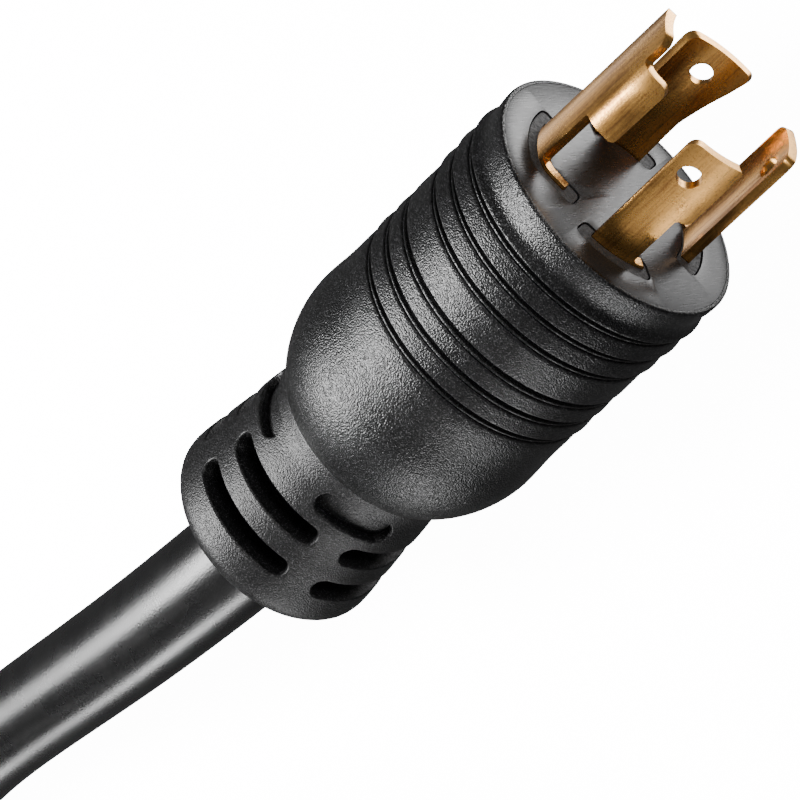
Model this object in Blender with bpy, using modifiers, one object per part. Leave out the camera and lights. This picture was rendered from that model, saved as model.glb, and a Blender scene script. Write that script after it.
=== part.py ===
# Shore power cord with a moulded four-blade locking plug, its coiled four-core
# cable and the matching moulded connector on the far end.
# Blender 4.5, metres, +Z up. The plug lies along X: the centre of its mating
# face is the origin, the blades point to +X and the cable leaves to -X.
import math
import bpy
import bmesh
import numpy as np
from mathutils import Matrix, Vector

MM = 0.001

# ---- driving dimensions (millimetres unless a name says otherwise) ----------
STEPS = 20                  # sides of every turned piece
FACE_R = 21.0               # mating face
BODY_R = 21.65              # fullest part of the grip, touches the floor
BODY_LEN = 57.9             # overmould, face to rear mouth
END_LEN = 87.6              # face to the end of the strain relief
PLATE_R, PLATE_T = 20.3, 3.0
SEAT_R = 20.6               # recess that holds the face plate
CAVITY_R = 17.5             # room for the moulded inner parts
MOUTH_R = 16.3              # rear mouth of the overmould
BLADE_T = 1.5
BLADE_R = 13.0              # middle of the blade thickness, three line blades
BLADE_L = {"line_x": 21.3, "line_y": 22.1, "neutral": 21.65}
HOLE_X = {"line_x": 16.4, "line_y": 17.9, "neutral": 16.9}
GROUND_R = 13.65
GROUND_L = 26.4
CABLE_R = 9.0
JACKET_BORE_R = 6.85
CORE_R, CORE_INS_R = 1.45, 2.6
LAY_R = 3.95                # the four cores' centres inside the jacket
GAP = 0.3

# groove between two grip bands: end of a band, start of the next, their radii
BANDS = [  # (start, radius at the crease, end, radius of the rear rim)
    (0.0, 21.1, 6.35, 21.5),
    (7.8, 20.95, 10.6, 21.48),
    (12.05, 20.9, 14.85, 21.35),
    (16.3, 20.9, 21.9, 21.15),
    (23.35, 20.95, 26.15, 21.25),
    (27.6, 20.95, 30.4, 21.35),
]
GROOVE_R = 20.15
BULB_START, BULB_FULL, BULB_TIP = 31.85, 44.5, 60.68

# strain relief: rows of slots (start, end, arc length in degrees, first centre)
SLOT_ROWS = [(75.1, 78.6, 73.0, 5.5), (67.4, 71.1, 73.0, 5.5), (60.9, 64.9, 48.0, 50.5)]
SLOT_FLOOR_R = 11.5

# cable route, metres
CABLE_D = 0.018
FLOOR_Z = -BODY_R * MM
COIL_UP = 0.0017            # the turns rest on the straps that hold them
PITCH = 0.0183
COIL_C = (-0.2186, -0.1388)
COIL_R = 0.0976
TURN_S_END = math.radians(115)
TURN_S_LEN = math.radians(185)
TURN_RAMP = math.radians(68)
CONN_YAW = math.radians(7)
CONN_REAR = (-0.0850, -0.2480)

# ---- scene helpers ----------------------------------------------------------
for ob in list(bpy.data.objects):
    bpy.data.objects.remove(ob, do_unlink=True)

parts = bpy.data.collections.new("shore_power_cord")
tools = bpy.data.collections.new("cutters")
bpy.context.scene.collection.children.link(parts)
bpy.context.scene.collection.children.link(tools)


def material(name, colour, roughness, metallic=0.0):
    m = bpy.data.materials.get(name)
    if m is None:
        m = bpy.data.materials.new(name)
        m.use_nodes = True
        b = m.node_tree.nodes["Principled BSDF"]
        b.inputs["Base Color"].default_value = (*colour, 1)
        b.inputs["Roughness"].default_value = roughness
        b.inputs["Metallic"].default_value = metallic
    return m


def link(ob, coll=parts):
    for c in list(ob.users_collection):
        c.objects.unlink(ob)
    coll.objects.link(ob)
    if coll is tools:
        ob.hide_render = True
        ob.display_type = "WIRE"
    return ob


def finish(ob, mat, parent=None):
    link(ob)
    ob.hide_render = False
    ob.display_type = "TEXTURED"
    ob.data.materials.clear()
    ob.data.materials.append(mat)
    if parent is not None:
        ob.parent = parent
    return ob


def as_mesh(ob, name=None):
    """The evaluated object as a mesh object with welded caps; the first one goes."""
    bpy.context.view_layer.update()
    dg = bpy.context.evaluated_depsgraph_get()
    me = bpy.data.meshes.new_from_object(ob.evaluated_get(dg))
    bm = bmesh.new()
    bm.from_mesh(me)
    bmesh.ops.remove_doubles(bm, verts=bm.verts, dist=1e-6)
    bm.to_mesh(me)
    bm.free()
    label = name or ob.name
    world = ob.matrix_world.copy()
    old = ob.data
    bpy.data.objects.remove(ob, do_unlink=True)
    if isinstance(old, bpy.types.Curve):
        bpy.data.curves.remove(old)
    new = bpy.data.objects.new(label, me)
    new.matrix_world = world
    tools.objects.link(new)
    return new


def joined(obs, name):
    """Several separate bodies as one cutter mesh, in world space."""
    bm = bmesh.new()
    for ob in obs:
        ob = as_mesh(ob)
        me = ob.data
        me.transform(ob.matrix_world)
        bm.from_mesh(me)
        bpy.data.objects.remove(ob, do_unlink=True)
    me = bpy.data.meshes.new(name)
    bm.to_mesh(me)
    bm.free()
    new = bpy.data.objects.new(name, me)
    return link(new, tools)


ALONG_X = Matrix.Rotation(math.radians(90), 4, "Y")        # local Z becomes world X
OUTLINE_TO_X = Matrix(((0, 0, 1, 0), (1, 0, 0, 0), (0, 1, 0, 0), (0, 0, 0, 1)))


def turned(name, profile, steps=STEPS, closed=True, centre=(0.0, 0.0), axis_x=True):
    """A profile of (distance behind the face, radius) in mm, turned about X."""
    me = bpy.data.meshes.new(name)
    verts = [(r * MM, 0.0, -s * MM) for s, r in profile]
    n = len(verts)
    edges = [(i, i + 1) for i in range(n - 1)] + ([(n - 1, 0)] if closed else [])
    me.from_pydata(verts, edges, [])
    ob = bpy.data.objects.new(name, me)
    link(ob, tools)
    sc = ob.modifiers.new("turn", "SCREW")
    sc.axis = "Z"
    sc.angle = 2 * math.pi
    sc.steps = sc.render_steps = steps
    sc.use_merge_vertices = True
    sc.merge_threshold = 0.00001
    sc.use_smooth_shade = True
    if axis_x:
        ob.matrix_world = Matrix.Translation((0, centre[0] * MM, centre[1] * MM)) @ ALONG_X
    return ob


def outline_curve(name, outlines, half):
    """Closed outlines (the first holds the rest as holes) filled, 2*half thick."""
    cu = bpy.data.curves.new(name, "CURVE")
    cu.dimensions = "2D"
    cu.fill_mode = "BOTH"
    cu.extrude = half
    for pts in outlines:
        sp = cu.splines.new("POLY")
        sp.points.add(len(pts) - 1)
        for p, (a, b) in zip(sp.points, pts):
            p.co = (a, b, 0, 1)
        sp.use_cyclic_u = True
    ob = bpy.data.objects.new(name, cu)
    return link(ob, tools)


def prism(name, outlines, s0, s1):
    """Outlines of (y, z) in mm, from s0 to s1 mm behind the face."""
    pts = [[(y * MM, z * MM) for y, z in o] for o in outlines]
    ob = outline_curve(name, pts, abs(s1 - s0) / 2 * MM)
    ob.matrix_world = Matrix.Translation((-(s0 + s1) / 2 * MM, 0, 0)) @ OUTLINE_TO_X
    return as_mesh(ob, name)


def tube(name, pts, radius, res=2, caps=True):
    cu = bpy.data.curves.new(name, "CURVE")
    cu.dimensions = "3D"
    cu.bevel_depth = radius
    cu.bevel_resolution = res
    cu.use_fill_caps = caps
    cu.twist_mode = "MINIMUM"
    sp = cu.splines.new("POLY")
    sp.points.add(len(pts) - 1)
    for p, q in zip(sp.points, pts):
        p.co = (*q, 1)
    ob = bpy.data.objects.new(name, cu)
    return link(ob, tools)


def cut(ob, cutter, operation="DIFFERENCE"):
    link(cutter, tools)
    m = ob.modifiers.new(cutter.name, "BOOLEAN")
    m.operation = operation
    m.solver = "EXACT"
    m.object = cutter
    return ob


# ---- plan paths of the blades -----------------------------------------------
class Chain:
    """A plane path of joined arcs, (length, radius) each, turning to the left.
    A point is (y, z) in mm and the normal points away from the plug's axis."""

    def __init__(self, radius, start_deg, spans):
        a = math.radians(start_deg)
        self.p0 = np.array([radius * math.cos(a), radius * math.sin(a)])
        self.h0 = a + math.pi / 2
        self.spans = spans
        self.length = sum(l for l, _ in spans)

    def at(self, t):
        p, h, left = self.p0.copy(), self.h0, t
        for i, (l, r) in enumerate(self.spans):
            last = i == len(self.spans) - 1
            d = left if (last or left < l) else l
            if r is None:
                p = p + d * np.array([math.cos(h), math.sin(h)])
            else:
                p = p + r * np.array([math.sin(h + d / r) - math.sin(h),
                                      math.cos(h) - math.cos(h + d / r)])
                h = h + d / r
            left -= d
            if last or left <= 1e-9:
                break
        return p, np.array([math.sin(h), -math.cos(h)])

    def knots(self, step_deg=7.0):
        """Where a faceted copy of the path needs its points."""
        out, t = [0.0], 0.0
        for l, r in self.spans:
            n = 1 if r is None else max(1, round(math.degrees(l / r) / (step_deg if r > 5 else 18)))
            out += [t + l * (i + 1) / n for i in range(n)]
            t += l
        return out


def band_outline(chain, lo, hi, n0, n1, corner=1.1, step=7.0, mirror=False):
    """Outline of a strip along a chain, from t=lo to t=hi and between the
    offsets n0 (inside) and n1 (outside), its corners cut round."""
    ts = [t for t in chain.knots(step) if lo + corner < t < hi - corner]
    bends = (0.0, 0.29, 1.0) if corner else (1.0,)

    def point(t, n):
        p, nn = chain.at(t)
        q = p + nn * n
        return (-q[0] if mirror else q[0], q[1])

    pts = [point(t, n1) for t in [lo + corner, *ts, hi - corner]]
    if corner:
        pts += [point(hi - 0.29 * corner, n1 - 0.29 * corner), point(hi, n1 - corner),
                point(hi, n0 + corner), point(hi - 0.29 * corner, n0 + 0.29 * corner)]
    pts += [point(t, n0) for t in [hi - corner, *ts[::-1], lo + corner]]
    if corner:
        pts += [point(lo + 0.29 * corner, n0 + 0.29 * corner), point(lo, n0 + corner),
                point(lo, n1 - corner), point(lo + 0.29 * corner, n1 - 0.29 * corner)]
    return pts


def line_chain(first_deg, radius=BLADE_R, span=39.5):
    return Chain(radius, first_deg, [(math.radians(span) * radius, radius)])


GROUND_FIRST = 23.0
EAR_BEND = math.radians(52.1)


def ground_chain(offset=0.0, tail=3.2, first=GROUND_FIRST, bend=1.8):
    r = GROUND_R + offset
    back = (bend - 1.8) * math.tan(EAR_BEND / 2)
    return Chain(r, first, [(math.radians(61.4 - first) * r - back, r),
                            (EAR_BEND * (bend + offset), bend + offset), (tail - back, None)])


BLADES = {  # name: (chain, degrees where its strip starts)
    "line_x": line_chain(117.6, span=38.9),
    "line_y": line_chain(207.0, radius=13.3),
    "neutral": line_chain(297.5),
    "ground": ground_chain(),
}
CENTRE_DEG = {"line_x": 135.0, "line_y": 225.0, "neutral": 315.0, "ground": 45.0}
WINDOWS = {  # outline of each window in the plug's face plate
    "line_x": (Chain(13.9, 108.0, [(math.radians(52.5) * 13.9, 13.9)]), 2.0),
    "line_y": (Chain(13.9, 198.0, [(math.radians(52.5) * 13.9, 13.9)]), 2.0),
    "neutral": (Chain(13.9, 288.0, [(math.radians(52.5) * 13.9, 13.9)]), 2.0),
    "ground": (ground_chain(0.65, 5.6, 13.5), 2.0),
}


def rounded_hole(cx, cy, r, n=10):
    return [(cx + r * math.cos(2 * math.pi * i / n), cy - r * math.sin(2 * math.pi * i / n))
            for i in range(n)]


def bent_sheet(name, outlines, thickness, chain, cuts, lean=(0.0, 0.0)):
    """A flat blank of (along the chain, X) in mm, bent along the chain."""
    ob = outline_curve(name, outlines, thickness / 2)
    ob = as_mesh(ob, name)
    bm = bmesh.new()
    bm.from_mesh(ob.data)
    for t in cuts:
        bmesh.ops.bisect_plane(bm, geom=bm.verts[:] + bm.edges[:] + bm.faces[:], dist=1e-5,
                               plane_co=(t, 0, 0), plane_no=(1, 0, 0))
    for v in bm.verts:
        t, x, n = v.co
        p, nn = chain.at(t)
        p = p + nn * n + np.array(lean) * max(x, 0.0)
        v.co = (x * MM, p[0] * MM, p[1] * MM)
    bm.to_mesh(ob.data)
    bm.free()
    return ob


def barrel(name, deg, radius, s0, s1):
    """Crimp barrel of a blade or contact, open at both ends."""
    a = math.radians(deg)
    return turned(name, [(s0, 2.85), (s1, 2.85), (s1, 1.75), (s0, 1.75)], 10,
                  centre=(radius * math.cos(a), radius * math.sin(a)))


def blade(kind, mat):
    ch = BLADES[kind]
    L = ch.length
    deg = CENTRE_DEG[kind]
    mid = L / 2
    tail_lo, tail_hi = mid - 3.3, mid + 3.3
    if kind == "ground":
        mid = ch.spans[0][0] / 2
        tail_lo, tail_hi = mid - 3.3, mid + 3.3
        ear = ch.spans[0][0] + 0.2
        o = [(0, -3), (0, GROUND_L - 1.6), (0.5, GROUND_L - 0.5), (1.6, GROUND_L),
             (ear - 1.4, GROUND_L), (ear - 0.4, GROUND_L - 0.4), (ear, GROUND_L - 1.4), (ear, 21.7),
             (L - 1.2, 21.7), (L - 0.3, 21.3), (L, 20.4), (L, 11.1), (L - 0.3, 10.4), (L - 1.0, 10.1),
             (ear, 10.1), (ear, 0.3), (L, 0.3), (L, -3),
             (tail_hi, -3), (tail_hi, -14), (tail_lo, -14), (tail_lo, -3)]
        outlines = [o]
    else:
        notch = L * (30.0 / 39.5)
        tip = BLADE_L[kind]
        if kind == "neutral":      # its leading edge sweeps out towards the tip
            k = math.radians(1) * BLADE_R
            lead = [(0, -3), (0, 9), (-1.2 * k, 10), (-3.5 * k, 12.7), (-6.6 * k, 15.3),
                    (-9.4 * k, 17.9), (-10.9 * k, 19.7), (-10.6 * k, 20.8), (-9.0 * k, 21.6)]
        else:
            lead = [(0, -3), (0, tip - 1.6), (0.5, tip - 0.5), (1.6, tip)]
        o = lead + [(L - 1.6, tip), (L - 0.5, tip - 0.5), (L, tip - 1.6), (L, 9.6), (notch, 9.6),
                    (notch, 0.3), (L, 0.3), (L, -3),
                    (tail_hi, -3), (tail_hi, -14), (tail_lo, -14), (tail_lo, -3)]
        outlines = [o, rounded_hole(math.radians(14.2) * BLADE_R, HOLE_X[kind], 1.77)]
    cuts = [t for t in ch.knots(8.0) if 0 < t < L]
    if kind == "neutral":
        cuts = [-1.9 + 0.01, 0.0] + cuts
    a = math.radians(41)
    lean = (-0.027 * math.cos(a), -0.027 * math.sin(a)) if kind == "ground" else (0, 0)
    ob = bent_sheet("blade_" + kind, outlines, BLADE_T, ch, cuts, lean)
    cut(ob, barrel("barrel_" + kind, deg, 10.3, 11.0, 20.0), "UNION")
    return finish(ob, mat)


# ---- materials --------------------------------------------------------------
M_PVC = material("black_pvc", (0.030, 0.030, 0.032), 0.62)
M_FACE = material("face_plate_black", (0.060, 0.061, 0.064), 0.42)
M_HOLD = material("holder_dark_grey", (0.045, 0.046, 0.048), 0.7)
M_FILL = material("inner_pvc_grey", (0.14, 0.14, 0.145), 0.7)
M_JACK = material("cable_jacket_black", (0.020, 0.020, 0.021), 0.38)
M_BRASS = material("brass", (0.62, 0.36, 0.16), 0.3, 1.0)
M_COPPER = material("copper_strands", (0.72, 0.36, 0.22), 0.35, 1.0)
M_INS = {
    "line_x": material("core_black", (0.02, 0.02, 0.02), 0.5),
    "line_y": material("core_red", (0.45, 0.02, 0.02), 0.5),
    "neutral": material("core_white", (0.75, 0.75, 0.72), 0.5),
    "ground": material("core_green", (0.02, 0.25, 0.06), 0.5),
}
M_TIE = material("hook_and_loop_black", (0.03, 0.03, 0.03), 0.95)


# ---- pieces that both ends share --------------------------------------------
def overmould_profile():
    pts = [(0.0, 20.9), (0.25, BANDS[0][1]), (4.0, 20.8)]
    starts = [b[0] for b in BANDS[1:]] + [BULB_START]
    start_r = [b[1] for b in BANDS[1:]] + [20.9]
    for (s0, r0, s1, r1), n, nr in zip(BANDS, starts, start_r):
        pts += [(s1 - 0.35, r1), (s1, r1 - 0.3), (s1 + 0.2, GROOVE_R), (s1 + 0.95, GROOVE_R), (n, nr)]
    pts += [(37.0, 21.15), (41.0, 21.45), (45.0, BODY_R)]
    for s in (49.2, 51.9, 54.4, 56.6, BODY_LEN):
        z = (s - BULB_FULL) / (BULB_TIP - BULB_FULL)
        pts.append((s, 12.2 + (BODY_R - 12.2) * (1 - z ** 1.868) ** (1 / 1.623)))
    pts += [(BODY_LEN, MOUTH_R), (51.0, MOUTH_R), (51.0, CAVITY_R), (3.3, CAVITY_R),
            (3.3, SEAT_R), (0.0, SEAT_R)]
    return pts


RELIEF = [(48.0, 17.2), (50.7, 17.2), (50.7, 16.0), (62.0, 16.2), (66.0, 16.7), (70.0, 16.95),
          (74.0, 17.4), (78.0, 17.85), (82.5, 18.25), (85.0, 17.5), (86.6, 15.3), (87.4, 12.5),
          (END_LEN, 11.2), (END_LEN, 9.5), (48.0, 9.4)]


def relief_slots():
    obs = []
    rm = 15.75
    for s0, s1, arc, first in SLOT_ROWS:
        half = math.radians(arc / 2) * rm
        h = (s1 - s0) / 2
        xm = -(s0 + s1) / 2
        for k in range(4):
            c = math.radians(first + 90 * k)
            ch = Chain(rm, first + 90 * k - arc / 2, [(2 * half, rm)])
            out = [(h, h), (2 * half - h, h), (2 * half - 0.35 * h, 0.6 * h), (2 * half, 0),
                   (2 * half - 0.35 * h, -0.6 * h), (2 * half - h, -h), (h, -h), (0.35 * h, -0.6 * h),
                   (0, 0), (0.35 * h, 0.6 * h)]
            out = [(t, xm + x) for t, x in out]
            obs.append(bent_sheet("slot_%d_%d" % (round(s0), k), [out], 2 * (rm - SLOT_FLOOR_R), ch,
                                  [2 * half * i / 4 for i in (1, 2, 3)]))
    return joined(obs, "relief_slots")


def core_path(kind, rb, c0, c1, s0, s1, n, mirror=False):
    a = math.radians(CENTRE_DEG[kind])
    if mirror:
        a = math.pi - a
    pts = []
    ss = [s0] + [c0 + (c1 - c0) * i / (n - 1) for i in range(n)] + [s1]
    for s in sorted(set(x for x in ss if s0 <= x <= s1)):
        u = min(max((s - c0) / (c1 - c0), 0.0), 1.0)
        r = rb + (LAY_R - rb) * u * u * (3 - 2 * u)
        pts.append((-s * MM, r * math.cos(a) * MM, r * math.sin(a) * MM))
    return pts


def end_pieces(pre, frame_ob, female):
    """Everything that plug and connector have in common, in the end's own frame."""
    rb, c0, c1 = (9.3, 39.5, 53.0) if female else (10.3, 22.0, 44.0)
    b0, b1 = (31.0, 38.5) if female else (11.0, 20.0)
    jack0 = 54.5 if female else 50.0
    fill0 = 30.6 if female else 10.3
    om = turned(pre + "_overmould", overmould_profile())
    finish(om, M_PVC, frame_ob)
    sr = turned(pre + "_strain_relief", RELIEF)
    slots = relief_slots()
    slots.name = pre + "_relief_slots"
    slots.parent = frame_ob
    cut(sr, slots)
    finish(sr, M_PVC, frame_ob)
    fill = turned(pre + "_inner_fill", [(fill0, 0), (fill0, 17.2), (47.7, 17.2), (47.7, 0)], closed=False)
    pockets, channels = [], []
    for kind in CENTRE_DEG:
        a = math.radians(180 - CENTRE_DEG[kind] if female else CENTRE_DEG[kind])
        pr, pc, pe = (5.6, 11.1, 32.0) if female else (5.5, 10.9, 15.0)
        pockets.append(turned("pocket", [(fill0 - 0.5, 0), (fill0 - 0.5, pr), (pe, pr), (pe, 0)], 12,
                              closed=False, centre=(pc * math.cos(a), pc * math.sin(a))))
        channels.append(tube("channel", core_path(kind, rb, c0, c1, pe - 0.4, 45.5 if female else 41.0,
                                                  5, female), 3.1 * MM, 2))
    rec = (42.6, 11.7) if female else (38.6, 8.6)
    for name, obs in (("_pockets", pockets), ("_channels", channels)):
        c = joined(obs, pre + name)
        c.parent = frame_ob
        cut(fill, c)
    c = joined([turned("recess", [(rec[0], 0), (rec[0], rec[1]), (48.5, rec[1]), (48.5, 0)], 16,
                       closed=False)], pre + "_recess")
    c.parent = frame_ob
    cut(fill, c)
    finish(fill, M_FILL, frame_ob)
    finish(turned(pre + "_cable_jacket_end", [(jack0, CABLE_R), (86.0, CABLE_R), (86.0, JACKET_BORE_R),
                                              (jack0, JACKET_BORE_R)], 16), M_JACK, frame_ob)
    for kind in CENTRE_DEG:
        ins = as_mesh(tube(pre + "_insulation_" + kind,
                           core_path(kind, rb, c0, c1, b1 + 0.3, 85.7, 5, female),
                           CORE_INS_R * MM, 2, caps=False))
        so = ins.modifiers.new("wall", "SOLIDIFY")
        so.thickness = 0.85 * MM
        so.offset = -1
        so.use_even_offset = True
        finish(ins, M_INS[kind], frame_ob)
        finish(as_mesh(tube(pre + "_conductor_" + kind,
                            core_path(kind, rb, c0, c1, b0 + 1.0, 85.4, 5, female), CORE_R * MM, 2)),
               M_COPPER, frame_ob)


# ---- plug -------------------------------------------------------------------
end_pieces("plug", None, False)

plate = turned("plug_face_plate", [(0, 0), (0, PLATE_R - 0.2), (0.2, PLATE_R), (PLATE_T, PLATE_R),
                                   (PLATE_T, 0)], closed=False)
cut(plate, joined([prism("window", [band_outline(c, 0, c.length, -w, w, 1.2)], -1, PLATE_T + 1)
                   for c, w in WINDOWS.values()], "plate_windows"))
finish(plate, M_FACE)

holder = turned("plug_blade_holder", [(3.3, 0), (3.3, 17.2), (10.0, 17.2), (10.0, 0)], closed=False)
cut(holder, joined([prism("boss", [band_outline(c, GAP, c.length - GAP, -w + GAP, w - GAP, 1.0)], 0.4, 4.0)
                    for c, w in WINDOWS.values()], "holder_bosses"), "UNION")
cut(holder, joined([prism("slot", [band_outline(c, -0.25, c.length + 0.25, -0.95, 0.95, 0, 8.0)], -1, 11)
                    for c in BLADES.values()], "holder_slots"))
cut(holder, joined([turned("clear", [(9.4, 0), (9.4, 3.2), (11, 3.2), (11, 0)], 10, closed=False,
                           centre=(10.3 * math.cos(math.radians(d)), 10.3 * math.sin(math.radians(d))))
                    for d in CENTRE_DEG.values()], "holder_barrel_clearance"))
finish(holder, M_HOLD)

for kind in BLADES:
    blade(kind, M_BRASS)


# ---- cable route ------------------------------------------------------------
ROW_H = math.sqrt(3) / 2 * PITCH
LAYERS = [(1, 0), (0, 0), (-1, 0), (-.5, 1), (.5, 1), (1.5, 1), (1, 2), (0, 2), (-1, 2),
          (-.5, 3), (.5, 3), (1.5, 3)]
RUN = [(-0.0630, 0, 0), (-0.0760, 0, 0), (-0.0888, 0, 0), (-0.1000, 0.0008, -0.0004),
       (-0.1200, 0.0031, -0.0022), (-0.1420, 0.0065, -0.0052), (-0.1660, 0.0103, -0.0088),
       (-0.1900, 0.0115, -0.0111), (-0.2150, 0.0048, -0.0116), (-0.2415, -0.0112, -0.0111)]
TAIL = [(-0.2210, -0.2646, 0.0397), (-0.1960, -0.2677, 0.0367), (-0.1710, -0.2672, 0.0284),
        (-0.1460, -0.2634, 0.0172), (-0.1220, -0.2576, 0.0074), (-0.1020, -0.2513, 0.0018)]


def ease(x):
    x = min(max(x, 0.0), 1.0)
    return x * x * x * (10 - 15 * x + 6 * x * x)


def lift(a):
    """How far the turns ride on top of each other, 0 nested and 1 crossing."""
    s0 = 2 * math.pi - TURN_S_LEN
    if a < TURN_RAMP:
        return 1 - ease(a / TURN_RAMP)
    if a > s0:
        return 1.0
    return ease((a - s0 + TURN_RAMP) / TURN_RAMP)


def coil_point(t):
    """Centre of the cable at the angle t travelled round the coil."""
    k = int(t // (2 * math.pi))
    a = t - 2 * math.pi * k
    s0 = 2 * math.pi - TURN_S_LEN
    row = ROW_H + (PITCH - ROW_H) * lift(a)

    def seat(i):
        q, layer = LAYERS[i]
        return np.array([q * PITCH, layer * row])

    k1 = min(k + 1, len(LAYERS) - 1)
    if a <= s0:
        v = seat(k)
    else:
        s = 0.5 - 0.5 * math.cos(math.pi * (a - s0) / TURN_S_LEN)
        if LAYERS[k][1] == LAYERS[k1][1]:
            v = seat(k) * (1 - s) + seat(k1) * s
        else:   # it climbs over the turn that takes its place
            under = seat(k - 1) * (1 - s) + seat(k) * s
            g0, g1 = (math.pi, math.pi / 3) if LAYERS[k][0] < 0 else (0.0, 2 * math.pi / 3)
            g = g0 + (g1 - g0) * s
            top = g if (g > math.pi / 2) == (g0 > math.pi / 2) else math.pi / 2
            v = under + PITCH * np.array([math.cos(g), math.sin(top)])
    th = TURN_S_END + t
    r = COIL_R + v[0]
    return (COIL_C[0] + r * math.cos(th), COIL_C[1] + r * math.sin(th),
            FLOOR_Z + COIL_UP + CABLE_D / 2 + v[1])


def smooth_curve(points, step=0.004):
    """Natural cubic spline through the points, as evenly spaced points."""
    p = np.asarray(points, float)
    n = len(p)
    t = np.concatenate([[0], np.cumsum(np.linalg.norm(np.diff(p, axis=0), axis=1))])
    h = np.diff(t)
    a, b = np.zeros((n, n)), np.zeros((n, 3))
    a[0, 0] = a[-1, -1] = 1
    for i in range(1, n - 1):
        a[i, i - 1:i + 2] = h[i - 1], 2 * (h[i - 1] + h[i]), h[i]
        b[i] = 6 * ((p[i + 1] - p[i]) / h[i] - (p[i] - p[i - 1]) / h[i - 1])
    m = np.linalg.solve(a, b)
    s = np.linspace(0, t[-1], int(t[-1] / step) + 1)
    i = np.clip(np.searchsorted(t, s, side="right") - 1, 0, n - 2)
    u, w, hh = (t[i + 1] - s)[:, None], (s - t[i])[:, None], h[i][:, None]
    return (m[i] * u ** 3 / (6 * hh) + m[i + 1] * w ** 3 / (6 * hh)
            + (p[i] / hh - m[i] * hh / 6) * u + (p[i + 1] / hh - m[i + 1] * hh / 6) * w)


yaw = (math.cos(CONN_YAW), math.sin(CONN_YAW))


def at_connector(d):
    """A point on the connector's axis, d metres past its rear end."""
    return (CONN_REAR[0] + yaw[0] * d, CONN_REAR[1] + yaw[1] * d, 0.0)


LAST_TURN = 2 * math.pi * 11 + math.radians(254) - TURN_S_END
route = ([*RUN] + [coil_point(t) for t in np.arange(0.12, LAST_TURN, math.radians(12))]
         + [*TAIL] + [at_connector(d) for d in (-0.004, 0.012, 0.0258)])
line = smooth_curve(route)

# the coil as one turned ring of its outer shape
RING = [(72.0, -19.7), (124.0, -19.7), (136.2, -7.0), (136.2, 43.5), (128.0, 53.0), (80.0, 53.0),
        (68.2, 36.0), (68.2, -14.0)]
RING_OUT = 0.1362
ring = turned("cord_coil", [(-z, r) for r, z in (RING[2:] + RING[:2])[::-1]], 32, axis_x=False)
ring.location = (COIL_C[0], COIL_C[1], 0)
finish(ring, M_JACK)

dist = np.hypot(line[:, 0] - COIL_C[0], line[:, 1] - COIL_C[1]) - CABLE_D / 2 - RING_OUT
start = int(np.argmax(line[:, 0] < -0.0863))
stop = int(np.argmax(dist < 0.0012))
run_pts = [(-0.0863, 0.0, 0.0), (-0.0885, 0.0, 0.0)] + [tuple(q) for q in line[start + 2:stop:8]]
finish(tube("cord_run", run_pts, CABLE_D / 2, 4), M_JACK)

first = len(line) - int(np.argmax(dist[::-1] < 0.0012))
near = at_connector(END_LEN * MM - 0.0863)
ahead = [i for i in range(first, len(line))
         if (line[i][0] - near[0]) * yaw[0] + (line[i][1] - near[1]) * yaw[1] < -0.006]
tail_pts = [tuple(line[i]) for i in ahead[::7]] + [at_connector(-0.0015), near]
finish(tube("cord_tail", tail_pts, CABLE_D / 2, 4), M_JACK)


# hook-and-loop straps round the bundle of turns
def strap(name, deg):
    lo, hi, z0, z1, t = 66.6, 137.0, FLOOR_Z / MM, 55.0, 1.6

    def box(x0, x1, a, b, c):
        return [(x0 + c, a), (x1 - c, a), (x1, a + c), (x1, b - c), (x1 - c, b), (x0 + c, b),
                (x0, b - c), (x0, a + c)]

    out = box(lo - t, hi + t, z0, z1, 5.0)
    inn = box(lo, hi, z0 + t, z1 - t, 4.0)
    ob = outline_curve(name, [[(x * MM, z * MM) for x, z in o] for o in (out, inn)], 0.010)
    a = math.radians(deg)
    ob.matrix_world = (Matrix.Translation((*COIL_C, 0)) @ Matrix.Rotation(a, 4, "Z")
                       @ Matrix.Rotation(math.pi / 2, 4, "X"))
    finish(as_mesh(ob, name), M_TIE)


# ---- connector on the far end -----------------------------------------------
conn = bpy.data.objects.new("connector_frame", None)
bpy.context.scene.collection.objects.link(conn)
conn.location = at_connector(END_LEN * MM)
conn.rotation_euler = (0, 0, CONN_YAW)
bpy.context.view_layer.update()

end_pieces("connector", conn, True)

plate = turned("connector_face_plate", [(0, 0), (0, PLATE_R - 0.2), (0.2, PLATE_R), (PLATE_T, PLATE_R),
                                        (PLATE_T, 0)], closed=False)
c = joined([prism("slot", [band_outline(ch, -0.4, ch.length + 0.4, -1.1, 1.1, 0.5, mirror=True)],
                  -1, PLATE_T + 1) for ch in BLADES.values()], "connector_plate_slots")
c.parent = conn
cut(plate, c)
finish(plate, M_FACE, conn)

holder = turned("connector_contact_holder", [(3.3, 0), (3.3, 17.2), (30.3, 17.2), (30.3, 0)], closed=False)
c = joined([prism("cavity", [band_outline(ch, -0.5, ch.length + 0.5, -2.05, 2.05, 0.8, mirror=True)],
                  2, 32) for ch in (BLADES["line_x"], BLADES["line_y"], BLADES["neutral"],
                                    ground_chain(bend=2.7))], "holder_cavities")
c.parent = conn
cut(holder, c)
for turn in (4.75, 9.5):    # room for the blades to be twisted home
    again = bpy.data.objects.new("twist_room", c.data)
    again.parent = conn
    again.rotation_euler = (-math.radians(turn), 0, 0)
    cut(holder, link(again, tools))
finish(holder, M_HOLD, conn)

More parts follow.
